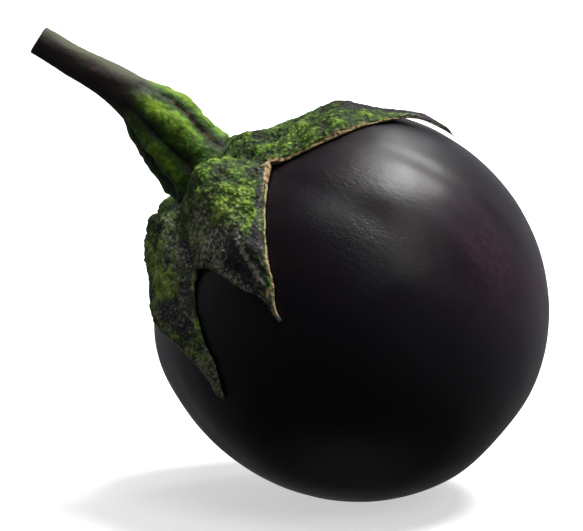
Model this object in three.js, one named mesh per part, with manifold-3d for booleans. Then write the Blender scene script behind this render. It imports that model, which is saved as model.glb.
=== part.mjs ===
// A round globe eggplant, resting on its side with its stalk up: the glossy berry, its five-lobed calyx
// and its cut stalk. Millimetres, +Z up, origin at the centre of the small flat spot that it rests on.
// The stalk leans towards -X, and the front of the fruit faces -Y.
import * as THREE from 'three';
import { mergeGeometries, mergeVertices } from 'three/addons/utils/BufferGeometryUtils.js';
import Module from 'manifold-3d';

const wasm = await Module();
wasm.setup();

// ---- Driving dimensions, mm and degrees ----

const STALK_ELEVATION = 41.6;    // how far the stalk axis stands above the table
const AXIAL_RADIUS = 56.0;       // berry's centre to its ends, before the shoulder dips
const WAIST_RADIUS = 54.5;       // berry's centre to its side
const SHOULDER_DROP = 8.0;       // how far the berry dips under the calyx
const SHOULDER_SPREAD = 32;      // how wide that dip is, as a polar angle
const BLOSSOM_TILT = 9;          // how far the blossom end lies off the stalk axis, towards the front
const BLOSSOM_DROP = 2.8;        // how far it is flattened
const BLOSSOM_SPREAD = 9;
const SAG = 1.25;                // how far the lower side swells where it leaves the calyx
const SAG_ANGLE = 53;
const SAG_SPREAD = 15;
const SCAR_ANGLE = 5.2;          // polar radius of the corky scar's rim at the blossom end
const SCAR_RIM = 0.45;           // height of that rim, and its width as an angle
const SCAR_RIM_SPREAD = 1.5;
const SCAR_DIMPLE = 0.9;         // depth of the dimple inside it, and its width as an angle
const SCAR_DIMPLE_SPREAD = 3.1;
// The berry's faint lobes: how many, their height, the azimuth of one in degrees, how sharply they fade
// towards the ends.
const LOBES = [
  { count: 4, height: 0.3, azimuth: -27.2, fade: 2 },
  { count: 3, height: 0.35, azimuth: -5.7, fade: 3 },
];
const REST_DEPTH = 0.9;          // how deep the flat spot cuts into the berry
const PIECE_GAP = 0.35;          // clearance between neighbouring pieces

const HUB_ANGLE = 13.5;          // polar angle of the calyx floor that the stalk stands on
const FLOOR_HEIGHT = 55.5;       // that floor's height above the berry's centre
const CREST_ANGLE = 15.5;        // polar angle of the sepals' swollen shoulders
const CREST_RISE = 4.5;          // how quickly a shoulder rises from the floor
const ROOT_SHARE = 0.18;         // share of the way to the notches in which it leaves the floor
const TIP_WIDTH = 1.0;           // width of a sepal's blunt tip
const RIDGE_SPREAD = 6;          // length of the lump further out on a sepal
const LUMP_HEIGHTS = [0.5, 0.3]; // the two waves of low lumps on the shoulders
const GROOVE_SHARE = [0.62, 0.12];   // groove's height beside the shoulders, at the hub and at the notch
const GROOVE_THICKNESS = 1.3;    // its height once the shoulders have run out
const GROOVE_END = 0.1;          // share of the free blade in which the groove thins to a margin

// The grooves between neighbouring sepals, by azimuth: where each leaves the hub, and the notch where the
// two sepals part. Azimuth 0 is the front, and 90 is the upper side.
const NOTCHES = [
  { hub: -42, azimuth: -32.5, polar: 38.5 },
  { hub: 40, azimuth: 34.5, polar: 31 },
  { hub: 108, azimuth: 107, polar: 34 },
  { hub: 184, azimuth: 184, polar: 36 },
  { hub: 259, azimuth: 260, polar: 37 },
];

// How a sepal's cross-section falls from its keel to a side: (1 - distance ** power) ** flare.
const DOME = [2.4, 1.0];
const FLAT = [3.0, 0.8];
const ROOF = [1.25, 1.0];
const SWEPT = [1.8, 1.6];

// Each sepal runs from its notch to the next. aim and tip are its tip's azimuth and polar angle, and hook
// turns the last of it sideways. draw says how each margin draws in to it: the share that closes early and
// the power it closes with, then the power of the rest and how far that bulges first. puff is the swollen
// shoulder's height and puffSpread its length, ridge a lump further out at ridgeAngle, blade the free part's
// thickness, lift the gap under the tip, arch a bow before it, and edge each margin's thickness. keel is the
// highest line's place across, at the hub, the notches and the tip; shoulder and leaf are the falls to the
// low and the high side, where the sepals are joined and where they are free. The first two are the front
// and the upper sepal, the next two are behind, and the last is the lower one.
const SEPALS = [
  {
    aim: -10.6, hook: -3.4, tip: 68.3, draw: [[0.35, 11, 1.5, 0.6], [0.2, 10, 1.85, 0]],
    puff: 13.0, puffSpread: 16, ridge: 2.4, ridgeAngle: 47, blade: 2.4, lift: 0.3, arch: 0,
    edge: [0.9, 1.1], keel: [0.15, -0.25, 0.75], shoulder: [ROOF, SWEPT], leaf: [ROOF, SWEPT],
  },
  {
    aim: 81, hook: 0, tip: 78.5, draw: [[0, 1, 3, 2.6], [0.75, 2.4, 0.45, 0]],
    puff: 7.3, puffSpread: 7.6, ridge: 2.1, ridgeAngle: 45, blade: 1.6, lift: 1.1, arch: 0.9,
    edge: [0.9, 0.9], keel: [0, 0, 0], shoulder: [DOME, DOME], leaf: [FLAT, FLAT],
  },
  {
    aim: 150, hook: 5, tip: 72, draw: [[0.72, 2.4, 0.45, 0], [0.8, 2.6, 0.45, 0]],
    puff: 8.2, puffSpread: 11, ridge: 1.0, ridgeAngle: 44, blade: 1.8, lift: 0.6, arch: 0.3,
    edge: [0.9, 0.9], keel: [0, 0, 0], shoulder: [DOME, DOME], leaf: [FLAT, FLAT],
  },
  {
    aim: 218, hook: -4, tip: 75, draw: [[0.8, 2.6, 0.45, 0], [0.7, 2.3, 0.45, 0]],
    puff: 10.5, puffSpread: 12, ridge: 1.2, ridgeAngle: 46, blade: 1.8, lift: 0.9, arch: 0.5,
    edge: [0.9, 0.9], keel: [0, 0, 0], shoulder: [DOME, DOME], leaf: [FLAT, FLAT],
  },
  {
    aim: 315, hook: -2.5, tip: 73.5, draw: [[0.95, 2.9, 0.45, 0], [0.5, 8, 0.6, 0]],
    puff: 12.0, puffSpread: 15, ridge: 0.8, ridgeAngle: 48, blade: 1.8, lift: 0.2, arch: 0,
    edge: [0.9, 0.9], keel: [0, 0, 0], shoulder: [DOME, DOME], leaf: [FLAT, FLAT],
  },
];

// The stalk's middle line in the plane of its lean: sideways, height above the berry's centre, radius.
const STALK = [
  [1.1, FLOOR_HEIGHT + PIECE_GAP, 11.4], [1.6, 58.5, 11.0], [2.2, 62, 10.4], [2.9, 67, 9.8], [3.7, 72, 9.6],
  [4.1, 77.8, 8.3], [4.1, 82.6, 6.4], [3.7, 87, 5.65], [2.2, 95.5, 4.7], [0.3, 104, 4.25], [-1.2, 113.8, 4.1],
];
// The grooves between its ribs, by azimuth: at its base, and where they run out.
const RIB_GROOVES = [[-5, -28], [50, 48], [112, 110], [178, 180], [238, 240], [298, 290]];
const RIB_DEPTH = 0.13;          // as a share of the stalk's radius
const RIBBED_SHARE = 0.62;       // how far up the stalk the grooves run
const KNOT_DEPTH = 0.035;        // low knots on the stalk, as a share of its radius

// Faces along and across each piece
const BERRY_SIDES = 48;
const BERRY_ROWS = 40;
const BERRY_CROWDING = 0.3;      // how far the berry's rows draw together towards its two ends
const SEPAL_COLUMNS = 14;
const HUB_ROWS = 3;
const SHOULDER_ROWS = 11;
const BLADE_ROWS = 14;
const STALK_SIDES = 36;
const STALK_ROWS = 32;
const WELD_DISTANCE = 1e-3;      // corners nearer than this are one corner

// ---- Small maths ----

const rad = THREE.MathUtils.degToRad;

function ease(value) {
  const x = THREE.MathUtils.clamp(value, 0, 1);
  return x * x * (3 - 2 * x);
}

function bell(distance, spread) {
  return Math.exp(-((distance / spread) ** 2));
}

function blend(a, b, share) {
  return a + (b - a) * share;
}

// A point of the plant frame: polar angle from the stalk axis (+Z), azimuth from the front (+X) to +Y.
function polarPoint(radius, polar, azimuth) {
  const out = radius * Math.sin(polar);
  return new THREE.Vector3(out * Math.cos(azimuth), out * Math.sin(azimuth), radius * Math.cos(polar));
}

// ---- Forms, in the plant frame ----

// The angle between a direction and the blossom end.
function blossomAngle(polar, azimuth) {
  const tilt = rad(BLOSSOM_TILT);
  const aligned = Math.sin(polar) * Math.cos(azimuth) * Math.sin(tilt) - Math.cos(polar) * Math.cos(tilt);
  return Math.acos(THREE.MathUtils.clamp(aligned, -1, 1));
}

// The berry: nearly a ball, dipped under the calyx, flattened at the blossom end, very slightly lobed.
function berryRadius(polar, azimuth) {
  const ends = Math.cos(polar) / AXIAL_RADIUS;
  const sides = Math.sin(polar) / WAIST_RADIUS;
  const fromBlossom = blossomAngle(polar, azimuth);
  const round = Math.sin(polar);
  let radius = 1 / Math.hypot(ends, sides);
  radius -= SHOULDER_DROP * bell(polar, rad(SHOULDER_SPREAD));
  radius -= BLOSSOM_DROP * bell(fromBlossom, rad(BLOSSOM_SPREAD));
  LOBES.forEach((lobe) => {
    radius += lobe.height * round ** lobe.fade * Math.cos(lobe.count * (azimuth - rad(lobe.azimuth)));
  });
  radius += SAG * bell(polar - rad(SAG_ANGLE), rad(SAG_SPREAD)) * Math.max(0, -Math.sin(azimuth)) ** 2;
  radius += SCAR_RIM * bell(fromBlossom - rad(SCAR_ANGLE), rad(SCAR_RIM_SPREAD));
  return radius - SCAR_DIMPLE * bell(fromBlossom, rad(SCAR_DIMPLE_SPREAD));
}

// Low lumps on the thick shoulders of the calyx.
function lumps(polar, azimuth) {
  const first = Math.sin(17 * polar + 3 * azimuth + 0.6) * Math.sin(9 * azimuth - 4 * polar);
  const second = Math.sin(31 * polar - 1.3) * Math.sin(5 * azimuth + 12 * polar + 2);
  return LUMP_HEIGHTS[0] * first + LUMP_HEIGHTS[1] * second;
}

// Where a sepal's point lies: along is -1 at the stalk axis, 0 at the hub's edge, 1 at the notches and 2 at
// the tip; across is -1 to 1.
function sepalPlace(index, along, across) {
  const sepal = SEPALS[index];
  const start = NOTCHES[index];
  const end = NOTCHES[(index + 1) % NOTCHES.length];
  const fullTurn = index === NOTCHES.length - 1 ? 360 : 0;
  const share = (across + 1) / 2;
  const fused = THREE.MathUtils.clamp(along, 0, 1);
  const notchPolar = blend(start.polar, end.polar, share);
  const low = blend(start.hub, start.azimuth, fused);
  const high = blend(end.hub, end.azimuth, fused) + fullTurn;
  if (along <= 1) {
    const polar = along < 0 ? HUB_ANGLE * (1 + along) : blend(HUB_ANGLE, notchPolar, along);
    return { polar: rad(polar), azimuth: rad(blend(low, high, share)), free: 0 };
  }
  const free = along - 1;
  const polar = blend(notchPolar, sepal.tip, free);
  const [lowShare, highShare] = sepal.draw.map(([early, sharp, rest, bulge]) => (
    early * (1 - free) ** sharp + (1 - early) * (1 - free) ** rest * (1 + bulge * free)));
  const tipWidth = free * THREE.MathUtils.radToDeg(TIP_WIDTH / 2 / (WAIST_RADIUS * Math.sin(rad(polar))));
  const lowEdge = blend(sepal.aim, low, lowShare) - tipWidth;
  const highEdge = blend(sepal.aim, high, highShare) + tipWidth;
  const hook = sepal.hook * ease((free - 0.7) / 0.3);
  return { polar: rad(polar), azimuth: rad(blend(lowEdge, highEdge, share) + hook), free };
}

// The swollen shoulder of a sepal, above its plain thickness.
function sepalPuff(sepal, polar) {
  const fromCrest = polar - rad(CREST_ANGLE);
  const spread = fromCrest > 0 ? sepal.puffSpread : CREST_RISE;
  return (sepal.puff - sepal.blade) * bell(fromCrest, rad(spread));
}

// The bottom of the groove on one side of a sepal, which it shares with its neighbour.
function grooveHeight(index, across, along, polar) {
  const step = across < 0 ? SEPALS.length - 1 : 1;
  const neighbour = SEPALS[(index + step) % SEPALS.length];
  const puff = (sepalPuff(SEPALS[index], polar) + sepalPuff(neighbour, polar)) / 2;
  return GROOVE_THICKNESS + puff * blend(GROOVE_SHARE[0], GROOVE_SHARE[1], along);
}

// The cross-section of a sepal: 1 on its keel, falling to 0 at both sides.
function sepalProfile(sepal, along, across) {
  const [hub, notch, tip] = sepal.keel;
  const free = THREE.MathUtils.clamp(along - 1, 0, 1);
  const keel = blend(blend(hub, notch, ease(along)), tip, ease(free ** 0.8));
  const side = across < keel ? 0 : 1;
  const off = side === 0 ? (keel - across) / (1 + keel) : (across - keel) / (1 - keel);
  const share = ease(free / 0.25);
  const power = blend(sepal.shoulder[side][0], sepal.leaf[side][0], share);
  const flare = blend(sepal.shoulder[side][1], sepal.leaf[side][1], share);
  return Math.max(0, 1 - off ** power) ** flare;
}

// How far a sepal's outer face stands off its inner face.
function sepalHeight(index, along, across, place) {
  const sepal = SEPALS[index];
  const floor = FLOOR_HEIGHT / Math.cos(place.polar) - berryRadius(place.polar, place.azimuth) - PIECE_GAP;
  if (along <= 0) {
    return floor;
  }
  const profile = sepalProfile(sepal, along, across);
  const lump = lumps(place.polar, place.azimuth) * (1 - Math.abs(across) ** 3);
  const ridge = sepal.ridge * bell(place.polar - rad(sepal.ridgeAngle), rad(RIDGE_SPREAD));
  const crest = sepalPuff(sepal, place.polar) + ridge + sepal.blade;
  if (along <= 1) {
    const groove = grooveHeight(index, across, along, place.polar);
    const shoulder = groove + (crest + lump - groove) * profile;
    return blend(floor, shoulder, ease(along / ROOT_SHARE));
  }
  const margin = sepal.edge[across < 0 ? 0 : 1] * (1 - 0.4 * ease((place.free - 0.5) / 0.5));
  const edge = blend(grooveHeight(index, across, 1, place.polar), margin, ease(place.free / GROOVE_END));
  const body = crest - 0.5 * sepal.blade * place.free + lump * (1 - place.free);
  return edge + Math.max(body - edge, 0) * profile;
}

function sepalLift(sepal, free) {
  const bow = Math.sin(Math.PI * ease((free - 0.5) / 0.5));
  return sepal.lift * ease((free - 0.45) / 0.55) + sepal.arch * bow;
}

// A Catmull-Rom curve through rows of numbers, from its first row at 0 to its last at 1.
function alongRows(rows, share) {
  const place = share * (rows.length - 1);
  const i = Math.min(Math.floor(place), rows.length - 2);
  const f = place - i;
  const before = rows[Math.max(i - 1, 0)];
  const after = rows[Math.min(i + 2, rows.length - 1)];
  return rows[i].map((b, k) => {
    const a = before[k];
    const c = rows[i + 1][k];
    const d = after[k];
    const second = 2 * a - 5 * b + 4 * c - d;
    const third = 3 * b - a - 3 * c + d;
    return 0.5 * (2 * b + (c - a) * f + second * f ** 2 + third * f ** 3);
  });
}

// 1 on a rib's crest, falling sharply to 0 in the grooves beside it.
function ribHeight(share, angle) {
  const run = THREE.MathUtils.clamp(share / RIBBED_SHARE, 0, 1);
  const grooves = RIB_GROOVES.map(([base, end]) => blend(base, end, run));
  const past = THREE.MathUtils.euclideanModulo(THREE.MathUtils.radToDeg(angle) - grooves[0], 360);
  const turned = grooves[0] + past;
  const next = grooves.findIndex((groove) => groove > turned);
  const low = grooves[next < 0 ? grooves.length - 1 : next - 1];
  const high = next < 0 ? grooves[0] + 360 : grooves[next];
  return Math.sin(Math.PI * (turned - low) / (high - low)) ** 0.8;
}

// The stalk's surface: ribbed and lumpy where it swells, and nearly round towards the cut.
function stalkPoint(share, angle, inwards) {
  const [side, height, radius] = alongRows(STALK, share);
  const ahead = alongRows(STALK, Math.min(1, share + 0.01));
  const behind = alongRows(STALK, Math.max(0, share - 0.01));
  const tilt = Math.atan2(ahead[0] - behind[0], ahead[1] - behind[1]) * ease(share / 0.25);
  const ribs = RIB_DEPTH * ease((share - 0.02) / 0.12) * (1 - ease((share - 0.35) / 0.4));
  const wave = 1.6 * ribHeight(share, angle) - 1;
  const knots = Math.sin(26 * share + 2 * angle) * Math.sin(3 * angle + 9 * share);
  const out = radius * (1 + ribs * wave + KNOT_DEPTH * ease(share / 0.1) * knots) * inwards;
  const x = out * Math.cos(angle);
  const y = out * Math.sin(angle);
  return new THREE.Vector3(x, side + y * Math.cos(tilt), height - y * Math.sin(tilt));
}

// ---- Turning three.js shapes into these forms ----

// Joins a shape's loose corners, and drops the faces that have closed up at a pole.
function weld(geometry) {
  geometry.deleteAttribute('normal');
  geometry.deleteAttribute('uv');
  const welded = mergeVertices(geometry, WELD_DISTANCE);
  const index = welded.getIndex().array;
  const kept = [];
  for (let i = 0; i < index.length; i += 3) {
    const [a, b, c] = index.slice(i, i + 3);
    if (a !== b && b !== c && c !== a) {
      kept.push(a, b, c);
    }
  }
  welded.setIndex(kept);
  return welded;
}

function bend(geometry, place) {
  const position = geometry.getAttribute('position');
  const point = new THREE.Vector3();
  for (let i = 0; i < position.count; i += 1) {
    point.fromBufferAttribute(position, i);
    const moved = place(point);
    position.setXYZ(i, moved.x, moved.y, moved.z);
  }
  return geometry;
}

// A bent rectangle: place is given the shares of its width and height, each from 0 to 1.
function sheet(columns, rows, place) {
  const flat = new THREE.PlaneGeometry(1, 1, columns, rows);
  return bend(flat, (point) => place(point.x + 0.5, point.y + 0.5));
}

function toSolid(geometry) {
  return new wasm.Manifold(new wasm.Mesh({
    numProp: 3,
    vertProperties: new Float32Array(geometry.getAttribute('position').array),
    triVerts: new Uint32Array(geometry.getIndex().array),
  }));
}

function toGeometry(solid) {
  const mesh = solid.getMesh();
  const geometry = new THREE.BufferGeometry();
  geometry.setAttribute('position', new THREE.BufferAttribute(mesh.vertProperties, 3));
  geometry.setIndex(new THREE.BufferAttribute(mesh.triVerts, 1));
  return geometry;
}

// ---- The plant frame on the table ----

// The stalk axis leans over towards -X, and the plant frame's +X faces the viewer's side, -Y.
const lean = rad(STALK_ELEVATION);
const axis = new THREE.Vector3(-Math.cos(lean), 0, Math.sin(lean));
const front = new THREE.Vector3(0, -1, 0);
const upper = new THREE.Vector3().crossVectors(axis, front);
const turn = new THREE.Matrix4().makeBasis(front, upper, axis);
const centreHeight = berryRadius(Math.PI / 2 + lean, -Math.PI / 2) - REST_DEPTH;

// ---- Pieces ----

// The berry, cut flat where its own weight rests it on the table.
function makeFruit() {
  const ball = new THREE.SphereGeometry(1, BERRY_SIDES, BERRY_ROWS);
  ball.rotateX(Math.PI / 2);
  bend(ball, (point) => {
    const even = Math.acos(THREE.MathUtils.clamp(point.z, -1, 1));
    const polar = even - BERRY_CROWDING * Math.sin(2 * even);
    const azimuth = Math.atan2(point.y, point.x);
    return polarPoint(berryRadius(polar, azimuth), polar, azimuth);
  });
  ball.applyMatrix4(turn);
  ball.translate(0, 0, centreHeight);
  const reach = 2 * AXIAL_RADIUS;
  const table = new THREE.BoxGeometry(2 * reach, 2 * reach, reach);
  table.translate(0, 0, -reach / 2);
  return toGeometry(toSolid(weld(ball)).subtract(toSolid(weld(table))));
}

// A point of a sepal's outer face, or of its inner face against the berry where side is 0.
function sepalPoint(index, along, across, side) {
  const place = sepalPlace(index, along, across);
  const height = side * sepalHeight(index, along, across, place);
  const stand = PIECE_GAP + sepalLift(SEPALS[index], place.free) + height;
  return polarPoint(berryRadius(place.polar, place.azimuth) + stand, place.polar, place.azimuth);
}

// The calyx is one closed skin: each sepal's outer and inner faces run from the stalk axis to its tip, and
// walls close its free margins and its tip.
function makeCalyx() {
  const rows = HUB_ROWS + SHOULDER_ROWS + BLADE_ROWS;
  const rowAlong = (share) => {
    const row = share * rows;
    if (row <= HUB_ROWS) {
      return row / HUB_ROWS - 1;
    }
    const shoulderRow = row - HUB_ROWS;
    return shoulderRow <= SHOULDER_ROWS
      ? shoulderRow / SHOULDER_ROWS
      : 1 + (shoulderRow - SHOULDER_ROWS) / BLADE_ROWS;
  };
  const columnAcross = (share) => Math.sin((share - 0.5) * Math.PI);
  const patches = SEPALS.flatMap((sepal, i) => [
    sheet(SEPAL_COLUMNS, rows, (u, v) => sepalPoint(i, rowAlong(v), columnAcross(1 - u), 1)),
    sheet(SEPAL_COLUMNS, rows, (u, v) => sepalPoint(i, rowAlong(v), columnAcross(u), 0)),
    sheet(BLADE_ROWS, 1, (u, v) => sepalPoint(i, 1 + u, -1, v)),
    sheet(BLADE_ROWS, 1, (u, v) => sepalPoint(i, 2 - u, 1, v)),
    sheet(SEPAL_COLUMNS, 1, (u, v) => sepalPoint(i, 2, columnAcross(u), v)),
  ]);
  return weld(mergeGeometries(patches));
}

function makeStalk() {
  const rod = new THREE.CylinderGeometry(1, 1, 1, STALK_SIDES, STALK_ROWS);
  rod.rotateX(Math.PI / 2);
  bend(rod, (point) => {
    const inwards = Math.min(1, Math.hypot(point.x, point.y));
    return stalkPoint(point.z + 0.5, Math.atan2(point.y, point.x), inwards);
  });
  return weld(rod);
}

// ---- The scene ----

function makeMesh(name, geometry, color, roughness) {
  geometry.computeVertexNormals();
  const mesh = new THREE.Mesh(geometry, new THREE.MeshStandardMaterial({ color, roughness, metalness: 0 }));
  mesh.name = name;
  return mesh;
}

const eggplant = new THREE.Group();
eggplant.add(makeMesh('fruit', makeFruit(), 0x17101c, 0.35));

const plant = new THREE.Group();
plant.quaternion.setFromRotationMatrix(turn);
plant.position.z = centreHeight;
plant.add(makeMesh('calyx', makeCalyx(), 0x4a6b2a, 0.8));
plant.add(makeMesh('stem', makeStalk(), 0x55682f, 0.75));
eggplant.add(plant);

export default eggplant;
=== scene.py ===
"""A round globe eggplant lying on a pale floor: its waxy berry, its granular calyx and its ribbed, cut stalk.

Forms are worked out in millimetres in the plant frame: +Z runs up the stalk from the berry's centre, +X faces
the front and +Y the upper side. TABLE_FROM_PLANT lays them on the table, in metres.
"""

import math

import bmesh
import bpy
from bpy.props import FloatProperty, FloatVectorProperty, PointerProperty
from mathutils import Matrix, Vector, noise


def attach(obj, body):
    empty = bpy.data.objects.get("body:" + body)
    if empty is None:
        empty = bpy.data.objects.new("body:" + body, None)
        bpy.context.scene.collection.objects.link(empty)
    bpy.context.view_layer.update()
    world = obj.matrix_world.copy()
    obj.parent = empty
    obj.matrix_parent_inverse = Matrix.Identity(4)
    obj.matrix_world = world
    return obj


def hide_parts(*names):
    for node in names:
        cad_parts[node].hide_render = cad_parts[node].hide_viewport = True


bl_info = {
    "name": "Globe eggplant",
    "version": (1, 0, 0),
    "blender": (4, 5, 0),
    "location": "3D View > Sidebar > Eggplant",
    "description": "Builds a round eggplant with its calyx and stalk around the packed solids",
    "category": "Add Mesh",
}

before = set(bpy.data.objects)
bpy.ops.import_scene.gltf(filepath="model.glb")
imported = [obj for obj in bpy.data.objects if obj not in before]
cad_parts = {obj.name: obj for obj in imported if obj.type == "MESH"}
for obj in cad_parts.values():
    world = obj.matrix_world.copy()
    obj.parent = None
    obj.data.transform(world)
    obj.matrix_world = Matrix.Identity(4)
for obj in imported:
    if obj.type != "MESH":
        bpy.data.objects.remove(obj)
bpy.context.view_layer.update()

# ---- Sizes shared with the solids, mm and degrees ----

STALK_ELEVATION = 41.6  # how far the stalk axis stands above the table
AXIAL_RADIUS = 56.0  # berry's centre to its ends, before the shoulder dips
WAIST_RADIUS = 54.5  # berry's centre to its side
SHOULDER_DROP = 8.0  # how far the berry dips under the calyx
SHOULDER_SPREAD = 32
BLOSSOM_TILT = 9  # how far the blossom end lies off the stalk axis, towards the front
BLOSSOM_DROP = 2.8  # how far it is flattened
BLOSSOM_SPREAD = 9
SAG = 1.25  # how far the lower side swells where it leaves the calyx
SAG_ANGLE = 53
SAG_SPREAD = 15
SCAR_ANGLE = 5.2  # polar radius of the corky scar's rim at the blossom end
SCAR_RIM = 0.45  # height of that rim, and its width as an angle
SCAR_RIM_SPREAD = 1.5
SCAR_DIMPLE = 0.9  # depth of the dimple inside it, and its width as an angle
SCAR_DIMPLE_SPREAD = 3.12
# The berry's faint lobes: how many, their height, their phase in radians, how sharply they fade to the ends.
LOBES = [(4, 0.3, 1.9, 2), (3, 0.35, 0.3, 3)]
REST_DEPTH = 0.9  # how deep the flat spot cuts into the berry
PIECE_GAP = 0.35  # clearance between neighbouring pieces

HUB_ANGLE = 13.5  # polar angle of the calyx floor that the stalk stands on
FLOOR_HEIGHT = 55.5  # that floor's height above the berry's centre
CREST_ANGLE = 15.5  # polar angle of the sepals' swollen shoulders
CREST_RISE = 4.5  # how quickly a shoulder rises from the floor
ROOT_SHARE = 0.18  # share of the way to the notches in which it leaves the floor
TIP_WIDTH = 1.0  # width of a sepal's blunt tip
RIDGE_SPREAD = 6  # length of the lump further out on a sepal
LUMP_HEIGHTS = (0.5, 0.3)  # the two waves of low lumps on the shoulders
GROOVE_SHARE = (0.62, 0.12)  # groove's height beside the shoulders, at the hub and at the notch
GROOVE_THICKNESS = 1.3  # its height once the shoulders have run out
GROOVE_END = 0.1  # share of the free blade in which the groove thins to a margin

# The grooves between neighbouring sepals: where each leaves the hub, and the notch where the two part.
NOTCHES = [
    {"hub": -42, "azimuth": -32.5, "polar": 38.5},
    {"hub": 40, "azimuth": 34.5, "polar": 31},
    {"hub": 108, "azimuth": 107, "polar": 34},
    {"hub": 184, "azimuth": 184, "polar": 36},
    {"hub": 259, "azimuth": 260, "polar": 37},
]

# How a sepal's cross-section falls from its keel to a side: (1 - distance ** power) ** flare.
DOME = (2.4, 1.0)
FLAT = (3.0, 0.8)
ROOF = (1.25, 1.0)
SWEPT = (1.8, 1.6)
# What the evenly shaped sepals share.
EVEN = {"edge": (0.9, 0.9), "keel": (0, 0, 0), "shoulder": (DOME, DOME), "leaf": (FLAT, FLAT)}

# Each sepal runs from its notch to the next. aim and tip are its tip's azimuth and polar angle, and hook
# turns the last of it sideways. draw says how each margin draws in to it: the share that closes early and
# the power it closes with, then the power of the rest and how far that bulges first. puff is the swollen
# shoulder's height and puff_spread its length, ridge a lump further out at ridge_angle, blade the free
# part's thickness, lift the gap under the tip, arch a bow before it, and edge each margin's thickness. keel
# is the highest line's place across, at the hub, the notches and the tip; shoulder and leaf are the falls to
# the low and the high side, where the sepals are joined and where they are free.
FRONT, UPPER, BACK_UPPER, BACK_LOWER, LOWER = range(5)
SEPALS = [
    {
        "aim": -10.6, "hook": -3.4, "tip": 68.3, "draw": ((0.35, 11, 1.5, 0.6), (0.2, 10, 1.85, 0)),
        "puff": 13.0, "puff_spread": 16, "ridge": 2.4, "ridge_angle": 47, "blade": 2.4,
        "lift": 0.3, "arch": 0, "edge": (0.9, 1.1), "keel": (0.15, -0.25, 0.75),
        "shoulder": (ROOF, SWEPT), "leaf": (ROOF, SWEPT),
    },
    {
        "aim": 81, "hook": 0, "tip": 78.5, "draw": ((0, 1, 3, 2.6), (0.75, 2.4, 0.45, 0)),
        "puff": 7.3, "puff_spread": 7.6, "ridge": 2.1, "ridge_angle": 45, "blade": 1.6,
        "lift": 1.1, "arch": 0.9, **EVEN,
    },
    {
        "aim": 150, "hook": 5, "tip": 72, "draw": ((0.72, 2.4, 0.45, 0), (0.8, 2.6, 0.45, 0)),
        "puff": 8.2, "puff_spread": 11, "ridge": 1.0, "ridge_angle": 44, "blade": 1.8,
        "lift": 0.6, "arch": 0.3, **EVEN,
    },
    {
        "aim": 218, "hook": -4, "tip": 75, "draw": ((0.8, 2.6, 0.45, 0), (0.7, 2.3, 0.45, 0)),
        "puff": 10.5, "puff_spread": 12, "ridge": 1.2, "ridge_angle": 46, "blade": 1.8,
        "lift": 0.9, "arch": 0.5, **EVEN,
    },
    {
        "aim": 315, "hook": -2.5, "tip": 73.5, "draw": ((0.95, 2.9, 0.45, 0), (0.5, 8, 0.6, 0)),
        "puff": 12.0, "puff_spread": 15, "ridge": 0.8, "ridge_angle": 48, "blade": 1.8,
        "lift": 0.2, "arch": 0, **EVEN,
    },
]

# The stalk's middle line in the plane of its lean: sideways, height above the berry's centre, radius.
STALK = [
    (1.1, FLOOR_HEIGHT + PIECE_GAP, 11.4), (1.6, 58.5, 11.0), (2.2, 62, 10.4), (2.9, 67, 9.8),
    (3.7, 72, 9.6), (4.1, 77.8, 8.3), (4.1, 82.6, 6.4), (3.7, 87, 5.65),
    (2.2, 95.5, 4.7), (0.3, 104, 4.25), (-1.2, 113.8, 4.1),
]
# The grooves between its ribs, by azimuth: at its base, and where they run out.
RIB_GROOVES = [(-5, -28), (50, 48), (112, 110), (178, 180), (238, 240), (298, 290)]
RIB_DEPTH = 0.13  # as a share of the stalk's radius
RIBBED_SHARE = 0.62  # how far up the stalk the grooves run
KNOT_DEPTH = 0.035  # low knots on the stalk, as a share of its radius

# ---- Faces of the finished pieces ----

BERRY_SIDES = 256
BERRY_ROWS = 180
BERRY_CROWDING = 0.3  # how far the berry's rows draw together towards its two ends
SEPAL_COLUMNS = 100  # across a sepal's outer face
UNDER_COLUMNS = 8  # across its hidden inner face
SEPAL_CROWDING = 0.92  # how far both draw together towards the margins
HUB_ROWS = 6  # from the stalk axis to the hub's edge
SHOULDER_ROWS = 74  # on to the notches
BLADE_ROWS = 92  # on to the tip
SEPAL_ROWS = HUB_ROWS + SHOULDER_ROWS + BLADE_ROWS
WALL_ROWS = 4  # up the thickness of a free margin
STALK_SIDES = 168
STALK_ROWS = 240
CALYX_WELD = 0.004  # corners nearer than this are one corner, mm
STALK_WELD = 0.001

# ---- Small maths ----

MILLIMETRE = 0.001


def linear(hex_colour):
    """An sRGB hex colour as linear red, green and blue."""
    parts = [int(hex_colour[i : i + 2], 16) / 255 for i in (1, 3, 5)]
    return tuple(p / 12.92 if p <= 0.04045 else ((p + 0.055) / 1.055) ** 2.4 for p in parts)


def clamp(value, low=0.0, high=1.0):
    return min(high, max(low, value))


def ease(value):
    x = clamp(value)
    return x * x * (3 - 2 * x)


def bell(distance, spread):
    return math.exp(-((distance / spread) ** 2))


def blend(a, b, share):
    return a + (b - a) * share


def turn_from(start, angle):
    """The turn in degrees from an azimuth in degrees to an angle in radians, the short way round."""
    return (math.degrees(angle) - start + 180) % 360 - 180


def polar_point(radius, polar, azimuth):
    """A point of the plant frame: polar angle from the stalk axis (+Z), azimuth from the front (+X) to +Y."""
    out = radius * math.sin(polar)
    return Vector((out * math.cos(azimuth), out * math.sin(azimuth), radius * math.cos(polar)))


# ---- Forms shared with the solids ----


def blossom_angle(polar, azimuth):
    """The angle between a direction and the blossom end."""
    tilt = math.radians(BLOSSOM_TILT)
    aligned = math.sin(polar) * math.cos(azimuth) * math.sin(tilt) - math.cos(polar) * math.cos(tilt)
    return math.acos(clamp(aligned, -1, 1))


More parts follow.
